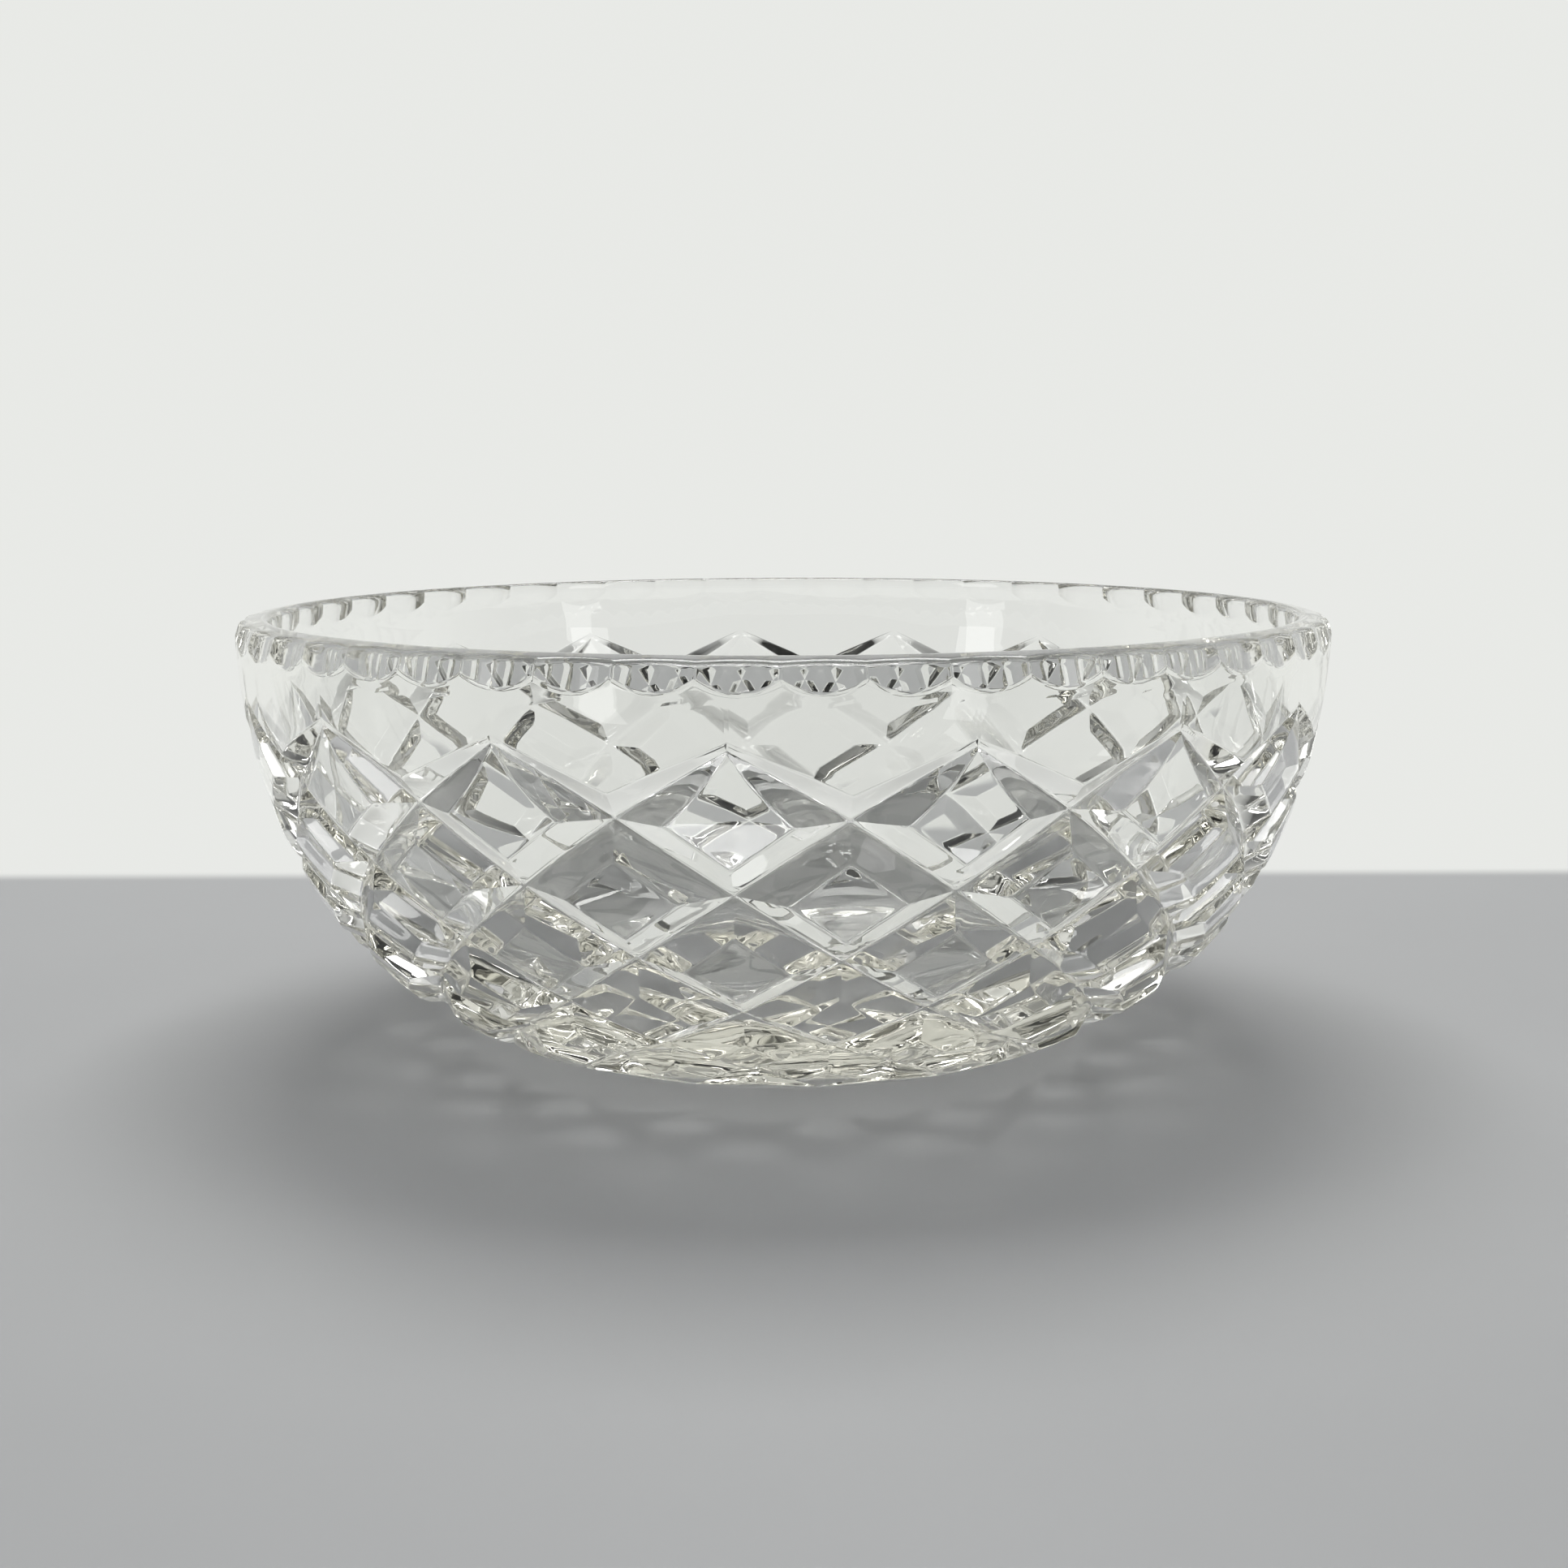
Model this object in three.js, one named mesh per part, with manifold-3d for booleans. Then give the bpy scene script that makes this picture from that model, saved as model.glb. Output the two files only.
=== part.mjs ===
// A cut-glass salad bowl, ground from one piece of crystal. Millimetres, +Z up, foot on z = 0, axis on Z.
// The blank is a turned bowl. A lattice of V grooves is cut round its side and a row of hollow flutes round
// its rim. Azimuth is measured from the front, -Y, towards +X.
import * as THREE from "three";
import { mergeVertices } from "three/addons/utils/BufferGeometryUtils.js";
import Module from "manifold-3d";

// Blank
const HEIGHT = 86;
const RIM_RADIUS = 107.5;
const BASE_RADIUS = 45.5;
const RIM_WALL = 6.5;
const FLOOR_THICKNESS = 9;
const FULLNESS = 3.3; // how full both sides stay towards the foot
const INNER_SQUARENESS = 2.3; // how flat the floor is; the outside has 2

// Groove lattice
const TIP_COUNT = 17; // points of the zigzag along the top of the lattice
const TIP_BELOW_RIM = 14.4;
const CUT_SLOPE = THREE.MathUtils.degToRad(34.4); // tilt of the plane that each groove lies in
const CUT_CLEARS_BASE = 2.3; // how far outside the foot that plane passes
const CUT_DEPTH = 3.2;
const CUT_ANGLE = THREE.MathUtils.degToRad(117); // between a groove's two flanks
const TIP_DEPTH_SHARE = 0.06; // of the full depth, at a tip
const TIP_FLANK_SHARE = 0.22; // of the full width, for the flank over a tip
const PLAIN_FOOT = 3; // lowest height that a groove reaches
const WIDEST_CUT = 0.42; // of the room between grooves, past which no further row is cut
const LATTICE_TURN = THREE.MathUtils.degToRad(-4.7); // azimuth of one tip

// Rim flutes
const FLUTES_PER_TIP = 3;
const FLUTE_HEIGHT = 5.9;
const FLUTE_RADIUS = 29.6;
const FLUTE_BAR_LENGTH = 6 * FLUTE_HEIGHT; // long enough to pass over the rim
const FLUTE_TILT = THREE.MathUtils.degToRad(18); // lean of a flute's hollow towards the axis
const FLUTE_TURN = THREE.MathUtils.degToRad(1); // azimuth of a flute's middle from a tip
const PLAIN_UNDER_FLUTES = 1.5;

// Fineness of the round surfaces
const RING_STEPS_PER_FLUTE = 2;
const INSIDE_STEPS = 72;
const INSIDE_ROWS = 14;
const FLUTE_STEPS = 40;
const HALVINGS = 50; // steps that find a height on a groove
const LEVEL_STEP = 0.01; // step that measures how fast a groove falls
const MERGE_DISTANCE = 1e-4;

const HALF_PITCH = Math.PI / TIP_COUNT;
const TIP_HEIGHT = HEIGHT - TIP_BELOW_RIM;
const FLUTE_COUNT = FLUTES_PER_TIP * TIP_COUNT;
const RING_STEPS = RING_STEPS_PER_FLUTE * FLUTE_COUNT;
const OUTER_DROP = HEIGHT / Math.sqrt(1 - (BASE_RADIUS / RIM_RADIUS) ** FULLNESS);

// Radius of the uncut outside at a height. The curve is (radius / rim)^fullness + drop^2 = 1.
function outerRadius(height) {
  const drop = (HEIGHT - height) / OUTER_DROP;
  return RIM_RADIUS * (1 - drop ** 2) ** (1 / FULLNESS);
}

// How fast the uncut outside widens with height.
function outerFlare(height) {
  const drop = (HEIGHT - height) / OUTER_DROP;
  const share = outerRadius(height) / RIM_RADIUS;
  return ((2 * RIM_RADIUS * drop) / (FULLNESS * OUTER_DROP)) * share ** (1 - FULLNESS);
}

function ringPoint(azimuth, radius, height) {
  return new THREE.Vector3(radius * Math.sin(azimuth), -radius * Math.cos(azimuth), height);
}

// Each groove starts at a tip and stays in a plane that slopes down past the foot. A level is how far a
// groove has turned round the axis, in half pitches, so grooves cross where a level is a whole number.
const CUT_REACH = BASE_RADIUS + CUT_CLEARS_BASE;
const CUT_LEAD = Math.asin((TIP_HEIGHT / Math.tan(CUT_SLOPE) - CUT_REACH) / outerRadius(TIP_HEIGHT));

// Height where a groove meets the uncut outside at a level, found by halving between the foot and the rim.
// Levels below 0 lie above the tips.
function levelHeight(level) {
  const swing = Math.sin(level * HALF_PITCH - CUT_LEAD);
  let low = 0;
  let high = HEIGHT;
  for (let step = 0; step < HALVINGS; step += 1) {
    const middle = (low + high) / 2;
    const above = outerRadius(middle) * swing + middle / Math.tan(CUT_SLOPE) > CUT_REACH;
    if (above) high = middle;
    else low = middle;
  }
  return high;
}

// Distance between neighbouring parallel grooves, square to them.
function grooveSpacing(level) {
  const height = levelHeight(level);
  const fall = (height - levelHeight(level + LEVEL_STEP)) / LEVEL_STEP;
  const down = fall * Math.hypot(1, outerFlare(height));
  const across = outerRadius(height) * HALF_PITCH;
  return (2 * across * down) / Math.hypot(across, down);
}

// A groove's half width is its depth times this.
const CUT_SPREAD = Math.tan(CUT_ANGLE / 2);

// The level where the lowest row ends: the last one clear of the foot, with room left between its grooves.
function lastLevel() {
  const isClear = (level) => levelHeight(level) > PLAIN_FOOT;
  const hasRoom = (level) => CUT_DEPTH * CUT_SPREAD < WIDEST_CUT * grooveSpacing(level);
  let level = 1;
  while (isClear(level + 1) && hasRoom(level)) level += 1;
  return level;
}
const LAST_LEVEL = lastLevel();

// 0 at a tip and above it, 1 from the first crossing down.
function entry(level) {
  return THREE.MathUtils.clamp(level, 0, 1);
}

// 1 down to the last row, then falling to 0 where the grooves end.
function exit(level) {
  return THREE.MathUtils.clamp(LAST_LEVEL - level, 0, 1);
}

// Share of the full depth. From a tip a groove sinks in along an arc, as a wheel cuts it.
function depthShare(level) {
  const sunk = entry(level) * (2 - entry(level));
  return Math.min(TIP_DEPTH_SHARE + (1 - TIP_DEPTH_SHARE) * sunk, exit(level));
}

function cutDepth(level) {
  return CUT_DEPTH * depthShare(level);
}

// Width of the flank below a groove, and of the one above it, as shares of the spacing.
function lowerFlank(level) {
  return (depthShare(level) * CUT_DEPTH * CUT_SPREAD) / grooveSpacing(Math.max(level, 0));
}

function upperFlank(level) {
  const share = Math.min(TIP_FLANK_SHARE + (1 - TIP_FLANK_SHARE) * entry(level), exit(level));
  return (share * CUT_DEPTH * CUT_SPREAD) / grooveSpacing(Math.max(level, 0));
}

// A point of the outside, sunk by a depth square to the uncut surface.
function cutPoint(across, level, depth) {
  const height = levelHeight(level);
  const flare = outerFlare(height);
  const sunk = depth / Math.hypot(1, flare);
  return ringPoint(LATTICE_TURN + across * HALF_PITCH, outerRadius(height) - sunk, height + sunk * flare);
}

// Triangles with shared vertices, gathered into one BufferGeometry.
class Skin {
  positions = [];
  triangles = [];
  seen = new Map();

  vertex(point) {
    const key = point.toArray().map((value) => value.toFixed(4)).join();
    if (!this.seen.has(key)) {
      this.seen.set(key, this.seen.size);
      this.positions.push(...point.toArray());
    }
    return this.seen.get(key);
  }

  triangle(...points) {
    const [a, b, c] = points.map((point) => this.vertex(point));
    if (a !== b && b !== c && c !== a) this.triangles.push(a, b, c);
  }

  // The quad a, b, c, d, split from a to c.
  quad(a, b, c, d) {
    this.triangle(a, b, c);
    this.triangle(a, c, d);
  }

  // The strip between two closed lines of points, each in order of azimuth and starting at the same azimuth.
  strip(lower, upper) {
    let i = 0;
    let j = 0;
    while (i < lower.length || j < upper.length) {
      const lowerNext = (i + 1) / lower.length;
      const upperNext = (j + 1) / upper.length;
      const a = lower[i % lower.length];
      const b = upper[j % upper.length];
      if (j === upper.length || (i < lower.length && lowerNext <= upperNext)) {
        this.triangle(a, lower[(i + 1) % lower.length], b);
        i += 1;
      } else {
        this.triangle(a, upper[(j + 1) % upper.length], b);
        j += 1;
      }
    }
  }

  geometry() {
    const geometry = new THREE.BufferGeometry();
    geometry.setAttribute("position", new THREE.Float32BufferAttribute(this.positions, 3));
    geometry.setIndex(this.triangles);
    return geometry;
  }
}

// One diamond between grooves, as a 4 by 4 grid of points. Its corners lie left, below, right and above;
// s runs down to the right and t up to the right. The outer points lie in the grooves and the inner four on
// the table. In the top row the flanks run on past the tips, to the mitres with the next diamonds' flanks.
function diamond(across, level) {
  const isTop = level === 0;
  const sAt = [
    (t) => (isTop ? -t : 0),
    (t) => lowerFlank(level - t),
    (t) => 1 - upperFlank(level + 1 - t),
    () => 1,
  ];
  const tAt = [
    () => 0,
    (s) => upperFlank(level + s),
    (s) => 1 - lowerFlank(level + s - 1),
    (s) => (isTop ? 2 - s : 1),
  ];
  return sAt.map((sOf, p) =>
    tAt.map((tOf, q) => {
      let s = sOf(tOf(p / 3));
      let t = tOf(s);
      s = sOf(t);
      t = tOf(s);
      const pointLevel = level + s - t;
      const inGroove = p === 0 || p === 3 || q === 0 || q === 3;
      return cutPoint(across - 1 + s + t, pointLevel, inGroove ? cutDepth(pointLevel) : 0);
    })
  );
}

// Quad p, q of a diamond's grid. The blocks above and below are split along the crease to the corner.
function diamondQuad(skin, grid, p, q) {
  const [a, b, c, d] = [grid[p][q], grid[p + 1][q], grid[p + 1][q + 1], grid[p][q + 1]];
  const crossCorner = (p === 0 && q === 2) || (p === 2 && q === 0);
  if (crossCorner) skin.quad(b, c, d, a);
  else skin.quad(a, b, c, d);
}

function ring(radius, height) {
  return Array.from({ length: RING_STEPS }, (_, i) =>
    ringPoint(LATTICE_TURN + (i * 2 * Math.PI) / RING_STEPS, radius, height)
  );
}

// The solid outside of the bowl with its grooves, closed by a flat foot and a flat top.
function cutOutside() {
  const skin = new Skin();
  const topLine = [];
  const footLine = [];
  for (let tip = 0; tip < TIP_COUNT; tip += 1) {
    for (let level = 1; level < LAST_LEVEL; level += 1) {
      const grid = diamond(2 * tip + ((level + 1) % 2), level);
      for (let p = 0; p < 3; p += 1) {
        for (let q = 0; q < 3; q += 1) diamondQuad(skin, grid, p, q);
      }
    }
    const top = diamond(2 * tip + 1, 0);
    const foot = diamond(2 * tip + ((LAST_LEVEL + 1) % 2), LAST_LEVEL);
    for (const [p, q] of [[0, 0], [1, 0], [2, 0], [2, 1], [2, 2]]) diamondQuad(skin, top, p, q);
    for (const [p, q] of [[0, 0], [0, 1], [0, 2], [1, 2], [2, 2]]) diamondQuad(skin, foot, p, q);
    topLine.push(top[0][1], top[1][1], top[2][1], top[2][2]);
    footLine.push(foot[0][0], foot[1][2]);
  }
  const bandHeight = HEIGHT - FLUTE_HEIGHT - PLAIN_UNDER_FLUTES;
  const band = ring(outerRadius(bandHeight), bandHeight);
  const rim = ring(RIM_RADIUS, HEIGHT);
  const base = ring(BASE_RADIUS, 0);
  const stepsPerHalfPitch = RING_STEPS / (2 * TIP_COUNT);
  const footStart = RING_STEPS + ((LAST_LEVEL + 1) % 2 - 1) * stepsPerHalfPitch;
  const turnedBase = base.map((_, i) => base[(i + Math.round(footStart)) % RING_STEPS]);
  skin.strip(topLine, band);
  skin.strip(band, rim);
  skin.strip(turnedBase, footLine);
  const topMiddle = new THREE.Vector3(0, 0, HEIGHT);
  const baseMiddle = new THREE.Vector3(0, 0, 0);
  for (let i = 0; i < RING_STEPS; i += 1) {
    const next = (i + 1) % RING_STEPS;
    skin.triangle(rim[i], rim[next], topMiddle);
    skin.triangle(base[next], base[i], baseMiddle);
  }
  return skin.geometry();
}

// The bowl's hollow, a turned curve like the outside's, carried straight up past the rim.
function hollow() {
  const radius = RIM_RADIUS - RIM_WALL;
  const depth = HEIGHT - FLOOR_THICKNESS;
  const profile = Array.from({ length: INSIDE_ROWS + 1 }, (_, i) => {
    const angle = (i / INSIDE_ROWS) * (Math.PI / 2);
    const drop = i < INSIDE_ROWS ? Math.cos(angle) ** (2 / INNER_SQUARENESS) : 0;
    return new THREE.Vector2(radius * Math.sin(angle) ** (2 / FULLNESS), HEIGHT - depth * drop);
  });
  const past = HEIGHT + RIM_WALL;
  profile.push(new THREE.Vector2(radius, past), new THREE.Vector2(0, past));
  return new THREE.LatheGeometry(profile, INSIDE_STEPS).rotateX(Math.PI / 2);
}

// The round bar that hollows one flute. It touches the outside at the flute's foot and leans in over the rim.
function fluteBar(index) {
  const foot = HEIGHT - FLUTE_HEIGHT;
  const azimuth = LATTICE_TURN + FLUTE_TURN + (index * 2 * Math.PI) / FLUTE_COUNT;
  return new THREE.CylinderGeometry(FLUTE_RADIUS, FLUTE_RADIUS, FLUTE_BAR_LENGTH, FLUTE_STEPS)
    .rotateX(Math.PI / 2 - FLUTE_TILT)
    .translate(
      0,
      -(outerRadius(foot) + FLUTE_RADIUS * Math.cos(FLUTE_TILT)),
      foot + FLUTE_RADIUS * Math.sin(FLUTE_TILT)
    )
    .rotateZ(azimuth);
}

const wasm = await Module();
wasm.setup();

function solidOf(geometry) {
  geometry.deleteAttribute("normal");
  geometry.deleteAttribute("uv");
  const merged = mergeVertices(geometry, MERGE_DISTANCE);
  const vertProperties = new Float32Array(merged.attributes.position.array);
  const triVerts = new Uint32Array(merged.index.array);
  return new wasm.Manifold(new wasm.Mesh({ numProp: 3, vertProperties, triVerts }));
}

function geometryOf(solid) {
  const mesh = solid.getMesh();
  const geometry = new THREE.BufferGeometry();
  geometry.setAttribute("position", new THREE.Float32BufferAttribute(mesh.vertProperties, 3));
  geometry.setIndex(new THREE.Uint32BufferAttribute(mesh.triVerts, 1));
  geometry.computeVertexNormals();
  return geometry;
}

function bowl() {
  let solid = solidOf(cutOutside()).subtract(solidOf(hollow()));
  for (let index = 0; index < FLUTE_COUNT; index += 1) {
    solid = solid.subtract(solidOf(fluteBar(index)));
  }
  const crystal = new THREE.MeshStandardMaterial({
    color: 0xe9edea,
    roughness: 0.03,
    metalness: 0,
    transparent: true,
    opacity: 0.35,
  });
  const mesh = new THREE.Mesh(geometryOf(solid), crystal);
  mesh.name = "cut_glass_bowl";
  return mesh;
}

const saladBowl = new THREE.Group();
saladBowl.add(bowl());

export default saladBowl;
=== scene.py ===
"""A cut-glass salad bowl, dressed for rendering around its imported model.

The bowl is one piece of clear crystal. Its outside is a turned blank with a lattice of V grooves round the
side and a row of hollow flutes round the rim. Lengths in the formulas are millimetres, and meshes are written
in metres. Azimuth is measured from the front, -Y, towards +X.
"""

import math

import bpy
import numpy as np
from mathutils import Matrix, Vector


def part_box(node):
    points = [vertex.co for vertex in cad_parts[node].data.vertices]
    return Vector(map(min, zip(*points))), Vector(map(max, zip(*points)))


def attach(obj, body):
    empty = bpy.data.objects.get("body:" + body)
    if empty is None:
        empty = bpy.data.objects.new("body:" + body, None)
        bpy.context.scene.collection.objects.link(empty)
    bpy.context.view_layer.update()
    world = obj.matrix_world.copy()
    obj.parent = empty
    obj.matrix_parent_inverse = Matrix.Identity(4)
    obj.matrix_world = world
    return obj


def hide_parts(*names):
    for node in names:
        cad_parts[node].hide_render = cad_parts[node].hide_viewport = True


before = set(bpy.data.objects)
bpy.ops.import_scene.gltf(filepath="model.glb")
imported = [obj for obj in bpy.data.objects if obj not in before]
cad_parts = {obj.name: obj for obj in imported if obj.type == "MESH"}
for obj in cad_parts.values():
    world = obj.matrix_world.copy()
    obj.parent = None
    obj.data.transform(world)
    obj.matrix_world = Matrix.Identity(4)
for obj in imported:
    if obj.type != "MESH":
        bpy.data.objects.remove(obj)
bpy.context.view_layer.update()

bl_info = {
    "name": "Cut Glass Salad Bowl",
    "version": (1, 0, 0),
    "blender": (4, 5, 0),
    "location": "3D View > Sidebar > Cut Glass",
    "description": "Makes a cut-glass salad bowl and its studio stage",
    "category": "Add Mesh",
}

NODE = "cut_glass_bowl"
BODY = "root"
MM = 0.001
CAD_LOW, CAD_HIGH = (np.array(corner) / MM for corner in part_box(NODE))
CAD_HEIGHT = float(CAD_HIGH[2] - CAD_LOW[2])
CAD_RIM = float(min(-CAD_LOW[:2].max(), CAD_HIGH[:2].min()))
FULL_TURN = 2 * math.pi
# Halvings that settle a height on the glass, and the least number that is divided by
HALVINGS = 50
TINY = 1e-9


class BlankSizes(bpy.types.PropertyGroup):
    """Sizes of the turned blank, in millimetres"""

    rim_radius: bpy.props.FloatProperty(
        name="Rim radius", description="Radius of the uncut rim", default=CAD_RIM
    )
    base_radius: bpy.props.FloatProperty(
        name="Base radius", description="Radius of the flat foot", default=45.5
    )
    fullness: bpy.props.FloatProperty(
        name="Fullness", description="How full both sides stay towards the foot", default=3.3
    )
    rim_wall: bpy.props.FloatProperty(
        name="Rim wall", description="Thickness of the glass at the rim", default=6.5
    )
    floor_thickness: bpy.props.FloatProperty(
        name="Floor thickness", description="Thickness of the glass over the foot", default=9.0
    )
    inner_squareness: bpy.props.FloatProperty(
        name="Inner squareness", description="How flat the floor is; the outside has 2", default=2.3
    )
    crown_drop: bpy.props.FloatProperty(
        name="Crown drop",
        description="How far the rim's top falls from its inner to its outer edge",
        default=0.9,
    )
    rim_fillet: bpy.props.FloatProperty(
        name="Rim fillet", description="How far the rounding of the rim's outer edge reaches", default=0.9
    )
    lip_fillet: bpy.props.FloatProperty(
        name="Lip fillet", description="How far the rounding of the rim's inner edge reaches", default=1.5
    )
    ripple: bpy.props.FloatProperty(
        name="Ripple", description="Height of the faint waves in the blown inside", default=0.09
    )
    foot_fillet: bpy.props.FloatProperty(
        name="Foot fillet", description="How far the rounding of the foot's edge reaches", default=1.2
    )


class LatticeSizes(bpy.types.PropertyGroup):
    """Sizes of the groove lattice, in millimetres and degrees"""

    tip_count: bpy.props.IntProperty(
        name="Tips", description="Points of the zigzag along the top of the lattice", default=17
    )
    tip_below_rim: bpy.props.FloatProperty(
        name="Tips below rim", description="From the rim down to the tips", default=14.4
    )
    cut_slope: bpy.props.FloatProperty(
        name="Cut slope", description="Tilt of the plane of each groove, in degrees", default=34.4
    )
    cut_clears_base: bpy.props.FloatProperty(
        name="Clears base", description="How far outside the foot a groove's plane passes", default=2.3
    )
    cut_depth: bpy.props.FloatProperty(
        name="Cut depth", description="Depth of a groove", default=3.2
    )
    cut_angle: bpy.props.FloatProperty(
        name="Cut angle", description="Angle between a groove's flanks, in degrees", default=117.0
    )
    tip_depth: bpy.props.FloatProperty(
        name="Tip depth", description="Share of the full depth at a tip", default=0.06
    )
    tip_flank: bpy.props.FloatProperty(
        name="Tip flank", description="Share of the full width for the flank over a tip", default=0.22
    )
    plain_foot: bpy.props.FloatProperty(
        name="Plain foot", description="Lowest height that a groove reaches", default=3.0
    )
    widest_cut: bpy.props.FloatProperty(
        name="Widest cut", description="Share of the room past which no row is cut", default=0.42
    )
    edge_softness: bpy.props.FloatProperty(
        name="Edge softness", description="How far polishing has rounded the edges of the cuts", default=0.1
    )
    root_softness: bpy.props.FloatProperty(
        name="Root softness",
        description="Share of a flank that its groove's rounded root takes",
        default=0.05,
    )
    turn: bpy.props.FloatProperty(
        name="Turn", description="Azimuth of one tip, in degrees", default=-4.7
    )


class FluteSizes(bpy.types.PropertyGroup):
    """Sizes of the rim flutes, in millimetres and degrees"""

    per_tip: bpy.props.IntProperty(
        name="Flutes per tip", description="Flutes for each tip of the lattice", default=3
    )
    height: bpy.props.FloatProperty(
        name="Flute height", description="From the rim down to a flute's foot", default=5.9
    )
    radius: bpy.props.FloatProperty(
        name="Flute radius", description="Radius of the hollow", default=29.6
    )
    tilt: bpy.props.FloatProperty(
        name="Flute tilt", description="Lean of the hollow towards the axis, in degrees", default=18.0
    )
    ridge_softness: bpy.props.FloatProperty(
        name="Ridge softness",
        description="How far polishing has rounded the ridges between flutes",
        default=0.3,
    )
    turn: bpy.props.FloatProperty(
        name="Flute turn", description="Azimuth of a flute's middle from a tip, in degrees", default=1.0
    )


class CrystalLook(bpy.types.PropertyGroup):
    """Finish of the glass"""

    ior: bpy.props.FloatProperty(
        name="IOR", description="Refractive index of lead crystal", default=1.55
    )
    tint: bpy.props.FloatVectorProperty(
        name="Tint",
        description="Colour that thick glass turns light to",
        subtype="COLOR",
        size=3,
        default=(0.9, 0.89, 0.83),
    )
    tint_density: bpy.props.FloatProperty(
        name="Tint density", description="Strength of the tint for each metre of glass", default=10.0
    )


class StageLook(bpy.types.PropertyGroup):
    """Floor, backdrop and light"""

    floor_colour: bpy.props.FloatVectorProperty(
        name="Floor",
        description="Colour of the floor",
        subtype="COLOR",
        size=3,
        default=(0.5, 0.505, 0.505),
    )
    backdrop_colour: bpy.props.FloatVectorProperty(
        name="Backdrop",
        description="Colour of the backdrop",
        subtype="COLOR",
        size=3,
        default=(0.81, 0.82, 0.795),
    )
    floor_end: bpy.props.FloatProperty(
        name="Floor end",
        description="Where the floor starts to turn to backdrop",
        default=0.15,
        unit="LENGTH",
    )
    floor_fade: bpy.props.FloatProperty(
        name="Floor fade", description="Over what depth it turns", default=0.014, unit="LENGTH"
    )
    floor_reach: bpy.props.FloatProperty(
        name="Floor reach",
        description="How far the floor reaches to the other sides",
        default=0.8,
        unit="LENGTH",
    )
    reach_fade: bpy.props.FloatProperty(
        name="Reach fade", description="Over what distance it turns there", default=0.8, unit="LENGTH"
    )
    ambient: bpy.props.FloatProperty(
        name="Ambient", description="Strength of the light from all round", default=0.35
    )
    top_power: bpy.props.FloatProperty(
        name="Top power", description="Power of the soft box overhead", default=7.0, unit="POWER"
    )
    top_size: bpy.props.FloatProperty(
        name="Top size", description="Side of the soft box overhead", default=0.6, unit="LENGTH"
    )
    side_power: bpy.props.FloatProperty(
        name="Side power", description="Power of each soft box at the side", default=1.5, unit="POWER"
    )
    front_dimming: bpy.props.FloatProperty(
        name="Front dimming", description="Strength of the room in front, as glass shows it", default=0.05
    )
    ceiling_dimming: bpy.props.FloatProperty(
        name="Ceiling dimming", description="Strength of the room overhead, as glass shows it", default=0.05
    )


class Blank:
    """The uncut outside: (radius / R)^n + ((H - z) / drop)^2 = 1, a turned curve, upright at the rim."""

    def __init__(self, sizes):
        self.height = CAD_HEIGHT
        self.rim = sizes.rim_radius
        self.n = sizes.fullness
        self.drop = self.height / math.sqrt(1 - (sizes.base_radius / self.rim) ** self.n)

    def radius(self, z):
        """Radius at a height."""
        fall = np.clip((self.height - z) / self.drop, 0, 1)
        return self.rim * (1 - fall**2) ** (1 / self.n)

    def flare(self, z):
        """Rate at which the radius grows with height."""
        fall = np.clip((self.height - z) / self.drop, 0, 1)
        share = np.maximum(self.radius(z) / self.rim, TINY)
        return 2 * self.rim * fall / (self.n * self.drop) * share ** (1 - self.n)


def ring_points(azimuth, radius, z):
    """Points at an azimuth, a radius and a height, as an array whose last axis is x, y, z."""
    azimuth, radius, z = np.broadcast_arrays(azimuth, radius, z)
    return np.stack([radius * np.sin(azimuth), -radius * np.cos(azimuth), z], axis=-1)


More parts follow.
